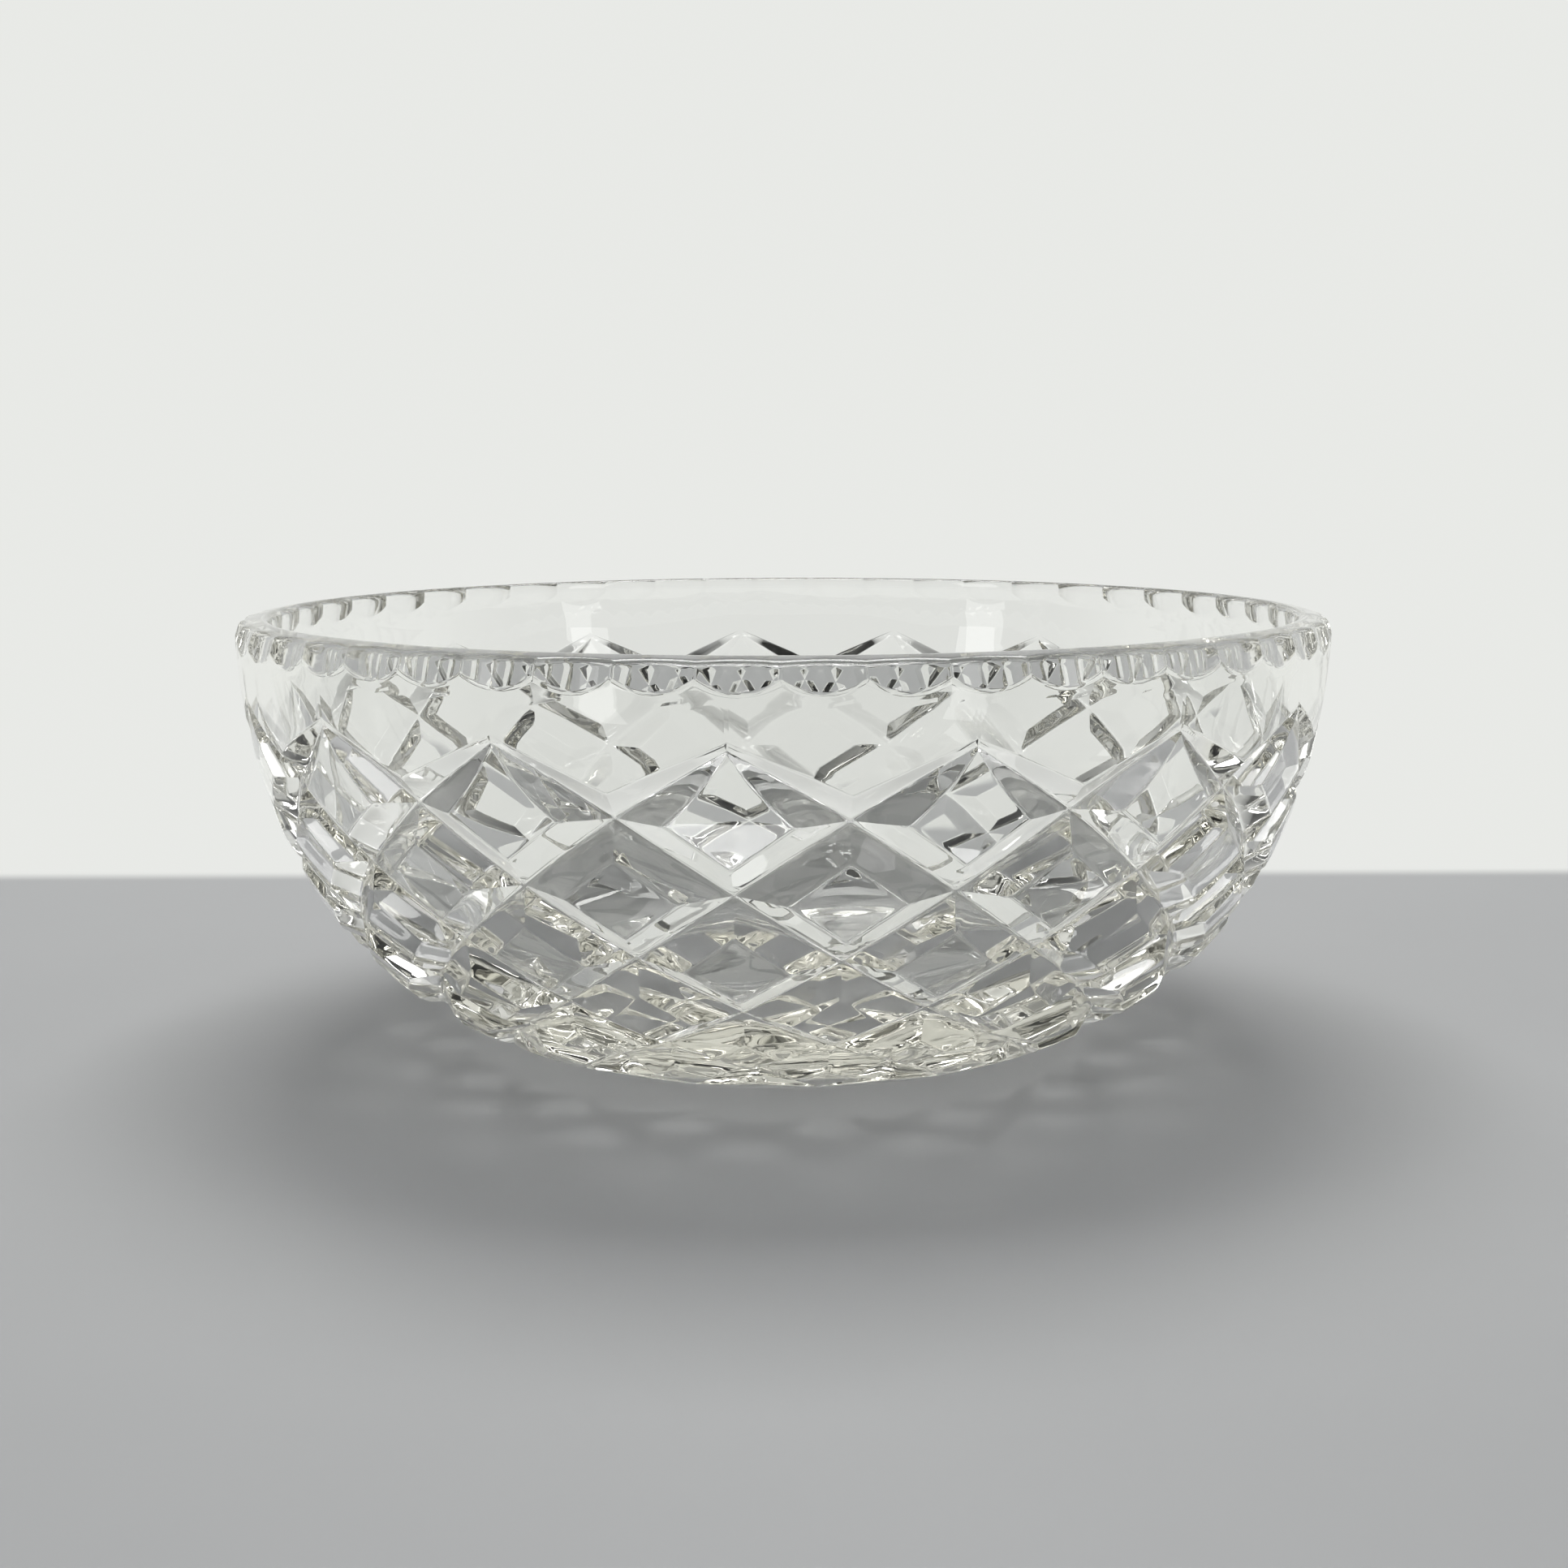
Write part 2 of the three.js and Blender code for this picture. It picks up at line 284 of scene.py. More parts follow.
class Lattice:
    """The grooves. Each lies in a plane, so at level k, its turn round the axis in half pitches, its height z
    on the blank solves r(z) sin(k h - lead) + z / tan(slope) = reach, with h half a pitch."""

    # Levels at which heights are solved
    FIRST_LEVEL, LAST_LEVEL = -1, 11
    LEVEL_STEP = 0.01

    def __init__(self, sizes, blank, base_radius):
        self.blank = blank
        self.count = sizes.tip_count
        self.half_pitch = math.pi / sizes.tip_count
        self.turn = math.radians(sizes.turn)
        self.depth = sizes.cut_depth
        self.spread = math.tan(math.radians(sizes.cut_angle) / 2)
        self.soft = sizes.edge_softness
        self.root = sizes.root_softness
        self.tip_depth = sizes.tip_depth
        self.tip_flank = sizes.tip_flank
        self.cotangent = 1 / math.tan(math.radians(sizes.cut_slope))
        self.reach = base_radius + sizes.cut_clears_base
        self.tip = blank.height - sizes.tip_below_rim
        self.lead = math.asin((self.tip * self.cotangent - self.reach) / float(blank.radius(self.tip)))
        self.levels = np.arange(self.FIRST_LEVEL, self.LAST_LEVEL, self.LEVEL_STEP)
        self.heights = self.solve_heights(self.levels)
        self.last = 1
        while self.is_clear(sizes, self.last + 1) and self.has_room(sizes, self.last):
            self.last += 1

    def is_clear(self, sizes, level):
        """True if a groove at this level is above the plain foot."""
        return self.height(level) > sizes.plain_foot

    def has_room(self, sizes, level):
        """True if full grooves at this level leave tables between them."""
        return self.depth * self.spread < sizes.widest_cut * self.spacing(level)

    def solve_heights(self, level):
        """Height on the blank at each level, by halving between the foot and the rim."""
        swing = np.sin(level * self.half_pitch - self.lead)
        low = np.zeros_like(level)
        high = np.full_like(level, self.blank.height)
        for _ in range(HALVINGS):
            middle = (low + high) / 2
            above = self.blank.radius(middle) * swing + middle * self.cotangent > self.reach
            high = np.where(above, middle, high)
            low = np.where(above, low, middle)
        return high

    def height(self, level):
        """Height on the blank at a level, read between the solved ones."""
        return np.interp(level, self.levels, self.heights)

    def spacing(self, level):
        """Distance between neighbouring parallel grooves, square to them."""
        step = self.LEVEL_STEP
        z = self.height(level)
        fall = (self.height(level - step) - self.height(level + step)) / (2 * step)
        down = np.maximum(fall, TINY) * np.hypot(1, self.blank.flare(z))
        across = self.blank.radius(z) * self.half_pitch
        return 2 * across * down / np.hypot(across, down)

    def depth_share(self, level):
        """Share of the full depth: an arc e (2 - e) over the first level, as a wheel cuts it, and a fall to 0
        over the last level."""
        entry = np.clip(level, 0, 1)
        sunk = self.tip_depth + (1 - self.tip_depth) * entry * (2 - entry)
        return np.minimum(sunk, np.clip(self.last - level, 0, 1))

    def lower_flank(self, level):
        """Width of the flank below a groove, as a share of the spacing."""
        return self.depth_share(level) * self.full_flank(level)

    def upper_flank(self, level):
        """Width of the flank above a groove, which starts as a band over the tip."""
        entry = self.tip_flank + (1 - self.tip_flank) * np.clip(level, 0, 1)
        return np.minimum(entry, np.clip(self.last - level, 0, 1)) * self.full_flank(level)

    def full_flank(self, level):
        """Width of a flank at full depth, as a share of the spacing."""
        return self.depth * self.spread / self.spacing(np.clip(level, 0, self.last))

    def surface(self, across, level, depth):
        """Points of the outside at a place in the lattice, sunk by a depth square to the blank."""
        z = self.height(level)
        flare = self.blank.flare(z)
        sunk = depth / np.hypot(1, flare)
        azimuth = self.turn + across * self.half_pitch
        return ring_points(azimuth, self.blank.radius(z) - sunk, z + sunk * flare)


# Places of the grid lines across one groove flank, as shares of its width, dense at the root and the edge,
# and across the table between two flanks, as shares of the room there
FLANK_LINES = np.array([0, 0.05, 0.12, 0.45, 0.84, 0.93, 0.98, 1.02, 1.07, 1.16])
TABLE_LINES = np.array([1 / 3, 2 / 3])
# Index of a flank's last line, and how many lines cross a diamond each way
EDGE = len(FLANK_LINES) - 1
SIDE = 2 * len(FLANK_LINES) + len(TABLE_LINES)
# Rounds that settle where the lines of both ways cross
LINE_ROUNDS = 8


def line_places(near, far):
    """Grid lines from 0 to 1 between two grooves with the given half widths, along a new last axis."""
    left = near[..., None] * FLANK_LINES
    right = 1 - far[..., None] * FLANK_LINES[::-1]
    room = right[..., :1] - left[..., -1:]
    middle = left[..., -1:] + room * TABLE_LINES
    return np.concatenate([left, middle, right], axis=-1)


def picked(lines, index):
    """The grid line with each index, from the last axis of lines."""
    return np.take_along_axis(lines, index[..., None], axis=-1)[..., 0]


def diamond_grids(lattice, across, level):
    """Grids of points for diamonds centred at places in the lattice. s runs down to the right and t up to the
    right. The cut's depth is the larger of the grooves' V profiles, D (1 - d / w), each rounded off to 0 at
    the table's edge and blended along the hip where two meet. In the top row the flanks run on past the tips,
    to the mitres with the next diamonds' flanks."""
    p, q = np.meshgrid(np.arange(SIDE), np.arange(SIDE), indexing="ij")
    shape = (len(level), SIDE, SIDE)
    p = np.broadcast_to(p, shape)
    q = np.broadcast_to(q, shape)
    level = np.broadcast_to(level[:, None, None], shape).astype(float)
    across = np.broadcast_to(across[:, None, None], shape).astype(float)
    s = p / (SIDE - 1)
    t = q / (SIDE - 1)
    is_top = level == 0
    for _ in range(LINE_ROUNDS):
        s = picked(line_places(lattice.lower_flank(level - t), lattice.upper_flank(level + 1 - t)), p)
        s = s - np.where(is_top, t * np.maximum(1 - 2 * s, 0), 0)
        t = picked(line_places(lattice.upper_flank(level + s), lattice.lower_flank(level + s - 1)), q)
        t = t + np.where(is_top, (1 - s) * np.maximum(2 * t - 1, 0), 0)
    k = level + s - t
    upper_left = np.where(is_top, 0, flank_depth(lattice, s, level - t, lattice.lower_flank))
    upper_right = np.where(is_top, 0, flank_depth(lattice, 1 - t, level + s - 1, lattice.lower_flank))
    lower_left = flank_depth(lattice, t, level + s, lattice.upper_flank)
    lower_right = flank_depth(lattice, 1 - s, level + 1 - t, lattice.upper_flank)
    depth_s = np.maximum(upper_left, lower_right)
    depth_t = np.maximum(upper_right, lower_left)
    soft = lattice.soft * np.minimum(lattice.depth_share(k), np.clip(k, 0, 1))
    gap = np.sqrt((depth_s - depth_t) ** 2 + soft**2) - soft
    depth = (depth_s + depth_t + gap) / 2
    return lattice.surface(across - 1 + s + t, np.minimum(k, lattice.last), depth)


def flank_depth(lattice, place, level, flank):
    """Depth of one flank of a V groove at a distance from its middle, in spacings, rounded at the root, where
    the distance x in flanks becomes sqrt(x^2 + root^2), and at the table."""
    share = lattice.depth_share(level)
    out = np.hypot(place / np.maximum(flank(level), TINY), lattice.root)
    left = lattice.depth * share * (1 - out)
    soft = lattice.soft * share
    return np.where(share > 0, (left + np.sqrt(left**2 + soft**2)) / 2, 0)


def grid_faces(rows, columns):
    """Quads of a grid, as rows of four indices, right-handed when rows run down and columns run right."""
    index = np.arange(rows * columns).reshape(rows, columns)
    return np.stack([index[:-1, :-1], index[1:, :-1], index[1:, 1:], index[:-1, 1:]], axis=-1)


def split_quads(quads, other):
    """Two triangles for each quad, split from its first to its third corner, or the other way where other is
    true."""
    a, b, c, d = np.moveaxis(quads, -1, 0)
    first = np.stack([a, b, np.where(other, d, c)], axis=-1)
    second = np.stack([np.where(other, b, a), c, d], axis=-1)
    return np.concatenate([first.reshape(-1, 3), second.reshape(-1, 3)])


class Skin:
    """Gathers surfaces as arrays of points and triangles, and welds the points that meet."""

    # Side of the cells that points are joined in
    WELD = 0.002

    def __init__(self):
        self.points = []
        self.triangles = []
        self.size = 0

    def add(self, points, triangles):
        """Adds points, in any grid shape, and triangles that index them."""
        points = points.reshape(-1, 3)
        self.points.append(points)
        self.triangles.append(triangles + self.size)
        self.size += len(points)

    def add_band(self, points):
        """Adds a closed band: axis 0 runs up the surface and axis 1 round it, in order of azimuth."""
        rows, columns = points.shape[:2]
        index = np.arange(rows * columns).reshape(rows, columns)
        turned = np.roll(index, -1, axis=1)
        quads = np.stack([index[:-1], turned[:-1], turned[1:], index[1:]], axis=-1).reshape(-1, 4)
        self.add(points, split_quads(quads, np.zeros(len(quads), bool)))

    def add_seam(self, lower, upper):
        """Adds the strip between two rings of points that differ in number, joined in order of azimuth."""
        lower = lower[np.argsort(azimuth_of(lower))]
        upper = upper[np.argsort(azimuth_of(upper))]
        turn_low = azimuth_of(lower)
        turn_up = azimuth_of(upper)
        n, m = len(lower), len(upper)
        ends_low = np.append(turn_low[1:], turn_low[0] + FULL_TURN)
        ends_up = np.append(turn_up[1:], turn_up[0] + FULL_TURN)
        ends = np.concatenate([ends_low, ends_up])
        from_low = np.concatenate([np.ones(n, bool), np.zeros(m, bool)])
        order = np.argsort(ends, kind="stable")
        from_low = from_low[order]
        i = np.cumsum(from_low) - from_low
        j = np.cumsum(~from_low) - ~from_low
        low = i % n
        up = j % m + n
        step = np.where(from_low, (i + 1) % n, (j + 1) % m + n)
        self.add(np.concatenate([lower, upper]), np.stack([low, step, up], axis=-1))

    def add_cap(self, ring, middle, up):
        """Closes a ring, in order of azimuth, with a fan to its middle point."""
        n = len(ring)
        index = np.arange(n)
        turned = np.roll(index, -1)
        first, second = (index, turned) if up else (turned, index)
        fan = np.stack([first, second, np.full(n, n)], axis=-1)
        self.add(np.concatenate([ring, middle[None]]), fan)

    def welded(self):
        """Points and triangles with points that meet joined and flat triangles dropped."""
        points = np.concatenate(self.points)
        triangles = np.concatenate(self.triangles)
        cells = np.round(points / self.WELD)
        _, first, same = np.unique(cells, axis=0, return_index=True, return_inverse=True)
        triangles = same.reshape(-1)[triangles]
        a, b, c = triangles.T
        whole = (a != b) & (b != c) & (c != a)
        return points[first], triangles[whole]


def azimuth_of(points):
    """Azimuth of points, from 0 at the front to a full turn."""
    return np.arctan2(points[:, 0], -points[:, 1]) % FULL_TURN


# Decimals to which two azimuths count as the same
AZIMUTH_DIGITS = 7


def in_order(points):
    """A ring's points in order of azimuth, each azimuth once."""
    azimuth = np.round(azimuth_of(points), AZIMUTH_DIGITS)
    _, first = np.unique(azimuth, return_index=True)
    return points[first]


def corner_blocks():
    """True for a diamond's quads that lie above or below its middle, where the hip runs the other way."""
    half = (SIDE - 1) // 2
    p, q = np.meshgrid(np.arange(SIDE - 1), np.arange(SIDE - 1), indexing="ij")
    return (p < half) != (q < half)


def add_lattice(skin, lattice):
    """The rows of diamonds, with the half flanks above the first row and below the last. Returns the lines of
    points along the outer edges of those flanks, above and below."""
    tips = np.arange(lattice.count)
    other = corner_blocks()
    faces = grid_faces(SIDE, SIDE)
    rows = np.arange(1, lattice.last)
    level, tip = (axis.ravel() for axis in np.meshgrid(rows, tips, indexing="ij"))
    grids = diamond_grids(lattice, 2 * tip + (level + 1) % 2, level)
    top = diamond_grids(lattice, 2 * tips + 1, np.zeros(lattice.count, int))
    foot_place = 2 * tips + (lattice.last + 1) % 2
    foot = diamond_grids(lattice, foot_place, np.full(lattice.count, lattice.last))
    p, q = np.meshgrid(np.arange(SIDE - 1), np.arange(SIDE - 1), indexing="ij")
    rest = SIDE - 1 - EDGE
    top_kept = (q < EDGE) | (p >= rest)
    foot_kept = (p < EDGE) | (q >= rest)
    everywhere = np.ones_like(other)
    for block, kept in ((grids, everywhere), (top, top_kept), (foot, foot_kept)):
        one = split_quads(faces[kept], other[kept])
        steps = np.arange(len(block))[:, None, None] * SIDE * SIDE
        skin.add(block, (one[None] + steps).reshape(-1, 3))
    top_line = np.concatenate([top[:, : rest + 1, EDGE], top[:, rest, EDGE:]], axis=1)
    foot_line = np.concatenate([foot[:, EDGE, : rest + 1], foot[:, EDGE:, rest]], axis=1)
    return in_order(top_line.reshape(-1, 3)), in_order(foot_line.reshape(-1, 3))


def shares(rings):
    """Even shares from 0 to 1, one to a ring, as a column."""
    return np.linspace(0, 1, rings)[:, None]


def add_plain_band(skin, blank, line, height, rows):
    """The uncut blank from a line of points up or down to a height, in columns. Returns the far ring."""
    share = shares(rows)
    z = line[:, 2] * (1 - share) + height * share
    azimuth = np.broadcast_to(azimuth_of(line), z.shape)
    points = ring_points(azimuth, blank.radius(z), z)
    points[0] = line
    upward = height > line[:, 2].max()
    skin.add_band(points if upward else points[::-1])
    return points[-1]


class Flutes:
    """Hollows ground round the rim by a round bar of radius b that touches the blank at the flute's foot and
    leans in by a tilt. At azimuth f from a flute's middle the hollow's radius r solves
    r cos f = A - (sqrt(b^2 - (r sin f)^2) - (B - z) sin tilt) / cos tilt, with A, B a point of its axis.
    Under the square root, f's distance u from the ridge becomes sqrt(u^2 + softness^2), which rounds it."""

    # Places of the columns across one flute, dense at the ridges
    COLUMNS = np.array([0, 0.02, 0.045, 0.08, 0.15, 0.25, 0.375, 0.5, 0.625, 0.75, 0.85, 0.92, 0.955, 0.98])
    # Rounds that settle the hollow's radius, and how far below the foot its lower edge is looked for
    RADIUS_ROUNDS = 12
    SEARCH_BELOW = 0.5

    def __init__(self, sizes, blank, lattice):
        self.blank = blank
        self.count = sizes.per_tip * lattice.count
        self.bar = sizes.radius
        self.sine = math.sin(math.radians(sizes.tilt))
        self.cosine = math.cos(math.radians(sizes.tilt))
        self.foot = blank.height - sizes.height
        self.axis_radius = float(blank.radius(self.foot)) + self.bar * self.cosine
        self.axis_height = self.foot + self.bar * self.sine
        pitch = FULL_TURN / self.count
        place = (np.arange(self.count)[:, None] + self.COLUMNS).ravel()
        self.offset = (place % 1 - 0.5) * pitch
        from_ridge = np.hypot(pitch / 2 - np.abs(self.offset), sizes.ridge_softness / blank.rim)
        self.inside = pitch / 2 - from_ridge
        self.azimuth = lattice.turn + math.radians(sizes.turn) + (place - 0.5) * pitch

    def radius(self, z):
        """Radius of the hollow at a height for each column, by repeated substitution."""
        radius = np.full(np.broadcast(self.offset, z).shape, self.blank.rim)
        for _ in range(self.RADIUS_ROUNDS):
            side = radius * np.sin(self.inside)
            reach = np.sqrt(self.bar**2 - side**2)
            lean = (self.axis_height - z) * self.sine
            radius = (self.axis_radius - (reach - lean) / self.cosine) / np.cos(self.offset)
        return radius

    def lower_edge(self):
        """Height where the hollow meets the blank in each column, by halving."""
        low = np.full_like(self.offset, self.foot - self.SEARCH_BELOW)
        high = np.full_like(self.offset, self.blank.height)
        for _ in range(HALVINGS):
            middle = (low + high) / 2
            outside = self.radius(middle) > self.blank.radius(middle)
            low = np.where(outside, middle, low)
            high = np.where(outside, high, middle)
        return high


def bend(start, corner, end, steps):
    """A rounded corner for every column: the quadratic curve from start to end that aims at the corner."""
    share = shares(steps)[..., None]
    return (1 - share) ** 2 * start + 2 * share * (1 - share) * corner + share**2 * end


# Power with which the rim's top falls outwards, and rounds that settle where it meets a flute
CROWN_POWER = 1.5
CROWN_ROUNDS = 8
# Rings of points on the stretches of the rim's profile, from the plain band up over the top and inside
PLAIN_RINGS = 4
HOLLOW_RINGS = 8
OUTER_BEND_RINGS = 6
CROWN_RINGS = 5
INNER_BEND_RINGS = 7


def rim_top(blank, sizes, radius):
    """Height of the rim's top at a radius: level at the inner edge and falling towards the outer one."""
    inner = blank.rim - sizes.rim_wall
    share = np.clip((radius - inner) / sizes.rim_wall, 0, 1)
    return blank.height - sizes.crown_drop * share**CROWN_POWER


def add_rim(skin, blank, sizes, flutes, ring_height):
    """The plain band under the flutes, the flutes, the rim's top and its inner edge, column by column. A
    column is a profile in radius and height. Returns the lowest ring and the last ring, inside the bowl."""
    edge = flutes.lower_edge()
    corner_z = np.full_like(edge, blank.height)
    for _ in range(CROWN_ROUNDS):
        corner_z = rim_top(blank, sizes, flutes.radius(corner_z))
    reach = sizes.rim_fillet
    inner = blank.rim - sizes.rim_wall
    plain_z = ring_height + (edge - ring_height) * shares(PLAIN_RINGS)
    plain = np.stack([blank.radius(plain_z), plain_z], axis=-1)
    hollow_z = edge + (corner_z - reach - edge) * shares(HOLLOW_RINGS)[1:]
    hollow = np.stack([flutes.radius(hollow_z), hollow_z], axis=-1)
    corner_r = flutes.radius(corner_z)
    corner = np.stack([corner_r, corner_z], axis=-1)
    top_r = corner_r - reach
    top = np.stack([top_r, rim_top(blank, sizes, top_r)], axis=-1)
    outer_bend = bend(hollow[-1], corner, top, OUTER_BEND_RINGS)[1:]
    lip = sizes.lip_fillet
    crown_r = top_r + (inner + lip - top_r) * shares(CROWN_RINGS)[1:]
    crown = np.stack([crown_r, rim_top(blank, sizes, crown_r)], axis=-1)
    flat = np.ones_like(edge)
    inner_corner = np.stack([inner * flat, blank.height * flat], axis=-1)
    end_z = blank.height - lip
    inner_end = np.stack([inside_radius(blank, sizes, end_z) * flat, end_z * flat], axis=-1)
    inner_bend = bend(crown[-1], inner_corner, inner_end, INNER_BEND_RINGS)[1:]
    profile = np.concatenate([plain, hollow, outer_bend, crown, inner_bend])
    points = ring_points(flutes.azimuth, profile[..., 0], profile[..., 1])
    skin.add_band(points)
    return points[0], points[-1]


def inside_radius(blank, sizes, z):
    """Radius of the inside at a height: a curve like the outside's with a flatter floor."""
    fall = np.clip((blank.height - z) / (blank.height - sizes.floor_thickness), 0, 1)
    return (blank.rim - sizes.rim_wall) * (1 - fall**sizes.inner_squareness) ** (1 / sizes.fullness)


# The sines of the ripples: share of the height, waves round the bowl, radians from rim to middle, and start
RIPPLE_SINES = ((0.4, 11, 23, 0.0), (0.35, 17, -31, 1.0), (0.25, 6, 41, 2.0))
# Shares of the way down the inside over which the ripples grow at the rim and die out at the middle
RIM_CALM = 0.15
MIDDLE_CALM = 0.4
# The inside's grid, the height of the seam between it and the rim, and the angle of its last ring
INSIDE_COLUMNS = 288
INSIDE_ROWS = 80
SEAM_HEIGHT = 1.0
LAST_ANGLE = 0.02


def ripples(azimuth, share):
    """Waves from -1 to 1 over the inside, as a sum of three sines round it and down it, which die out at the
    rim and towards the middle. share runs from 0 at the rim to 1 at the floor's middle."""
    waves = sum(
        height * np.sin(count * azimuth + down * share + start)
        for height, count, down, start in RIPPLE_SINES
    )
    return waves * np.clip(share / RIM_CALM, 0, 1) * np.clip((1 - share) / MIDDLE_CALM, 0, 1)


def add_inside(skin, blank, sizes, rim_ring):
    """The smooth inside, turned round the axis from below the rim's edge to the floor's middle, with its
    radius as sin(a)^(2/n) and its drop as cos(a)^(2/q) for the fullness n and the squareness q, and with
    faint ripples."""
    start = blank.height - sizes.lip_fillet - SEAM_HEIGHT
    depth = blank.height - sizes.floor_thickness
    wide = blank.rim - sizes.rim_wall
    first = math.acos(((blank.height - start) / depth) ** (sizes.inner_squareness / 2))
    angle = np.linspace(first, LAST_ANGLE, INSIDE_ROWS)[:, None]
    radius = wide * np.sin(angle) ** (2 / sizes.fullness)
    z = blank.height - depth * np.cos(angle) ** (2 / sizes.inner_squareness)
    azimuth = np.arange(INSIDE_COLUMNS) * FULL_TURN / INSIDE_COLUMNS
    wave = sizes.ripple * ripples(azimuth, 1 - angle / first)
    points = ring_points(azimuth, radius + wave * np.sin(angle), z - wave * np.cos(angle))
    skin.add_seam(rim_ring, points[0])
    skin.add_band(points)
    skin.add_cap(points[-1], np.array([0, 0, sizes.floor_thickness]), True)


# Rings of points on the blank below the grooves and round the foot's edge, and the grid of its flat face
FOOT_BAND_RINGS = 5
FOOT_BEND_RINGS = 7
FOOT_COLUMNS = 108
FOOT_RING_SHARES = np.array([0.9, 0.6, 0.3])


def add_foot(skin, blank, sizes, line):
    """The plain foot: the blank below the grooves, a rounded edge and a flat face to stand on."""
    reach = sizes.foot_fillet
    ring = add_plain_band(skin, blank, line, reach, FOOT_BAND_RINGS)
    azimuth = azimuth_of(ring)
    flat = np.ones_like(azimuth)
    corner = np.stack([sizes.base_radius * flat, 0 * flat], axis=-1)
    start = np.stack([blank.radius(reach) * flat, reach * flat], axis=-1)
    end = np.stack([(sizes.base_radius - reach) * flat, 0 * flat], axis=-1)
    profile = bend(start, corner, end, FOOT_BEND_RINGS)
    points = ring_points(azimuth, profile[..., 0], profile[..., 1])
    skin.add_band(points[::-1])
    turn = np.arange(FOOT_COLUMNS) * FULL_TURN / FOOT_COLUMNS
    radii = (sizes.base_radius - reach) * FOOT_RING_SHARES[:, None]
    inner = ring_points(turn, radii, 0.0)
    skin.add_seam(inner[0], points[-1])
    skin.add_band(inner[::-1])
    skin.add_cap(inner[-1], np.zeros(3), False)


def mesh_object(name, points, triangles, sharp_degrees):
    """A mesh object from points in millimetres and triangles, smooth except across sharp edges."""
    mesh = bpy.data.meshes.new(name)
    mesh.vertices.add(len(points))
    mesh.vertices.foreach_set("co", (points * MM).astype(np.float32).ravel())
    mesh.loops.add(3 * len(triangles))
    mesh.loops.foreach_set("vertex_index", triangles.astype(np.int32).ravel())
    mesh.polygons.add(len(triangles))
    mesh.polygons.foreach_set("loop_start", np.arange(0, 3 * len(triangles), 3, dtype=np.int32))
    mesh.update(calc_edges=True)
    mesh.validate()
    mesh.shade_smooth()
    mesh.set_sharp_from_angle(angle=math.radians(sharp_degrees))
    piece = bpy.data.objects.new(name, mesh)
    bpy.context.scene.collection.objects.link(piece)
    return piece


def noise_level(tree, coordinates, scale, detail):
    """A socket for a noise over Object coordinates."""
    node = tree.nodes.new("ShaderNodeTexNoise")
    node.inputs["Scale"].default_value = scale
    node.inputs["Detail"].default_value = detail
    tree.links.new(coordinates.outputs["Object"], node.inputs["Vector"])
    return node.outputs["Fac"]


def tone_between(tree, level, low, high):
    """A socket for a colour that goes from low to high as a level goes from 0 to 1."""
    node = tree.nodes.new("ShaderNodeMix")
    node.data_type = "RGBA"
    node.inputs["A"].default_value = (*low, 1.0)
    node.inputs["B"].default_value = (*high, 1.0)
    tree.links.new(level, node.inputs["Factor"])
    return node.outputs["Result"]


# The polish's faint haze: its noise, the levels between which it roughens the glass, and the colours of clear
# and of hazy glass
HAZE_SCALE = 60.0
HAZE_DETAIL = 4.0
HAZE_START, HAZE_END = 0.45, 0.8
HAZE_ROUGHNESS = 0.03
CLEAR_COLOUR = (0.995, 0.998, 0.993)
HAZY_COLOUR = (0.98, 0.985, 0.975)


def crystal_material(look):
    """Clear lead crystal with a faint tint in thick glass and a faint haze in its polish."""
    material = bpy.data.materials.new("crystal")
    material.use_nodes = True
    tree = material.node_tree
    nodes, links = tree.nodes, tree.links
    shader = nodes["Principled BSDF"]
    shader.inputs["Transmission Weight"].default_value = 1.0
    shader.inputs["IOR"].default_value = look.ior
    coordinates = nodes.new("ShaderNodeTexCoord")
    haze = noise_level(tree, coordinates, HAZE_SCALE, HAZE_DETAIL)
    polish = nodes.new("ShaderNodeMapRange")
    polish.inputs["From Min"].default_value = HAZE_START
    polish.inputs["From Max"].default_value = HAZE_END
    polish.inputs["To Min"].default_value = 0.0
    polish.inputs["To Max"].default_value = HAZE_ROUGHNESS
    links.new(haze, polish.inputs["Value"])
    links.new(polish.outputs["Result"], shader.inputs["Roughness"])
    links.new(tone_between(tree, haze, CLEAR_COLOUR, HAZY_COLOUR), shader.inputs["Base Color"])
    body = nodes.new("ShaderNodeVolumeAbsorption")
    body.inputs["Color"].default_value = (*look.tint, 1.0)
    body.inputs["Density"].default_value = look.tint_density
    links.new(body.outputs["Volume"], nodes["Material Output"].inputs["Volume"])
    return material


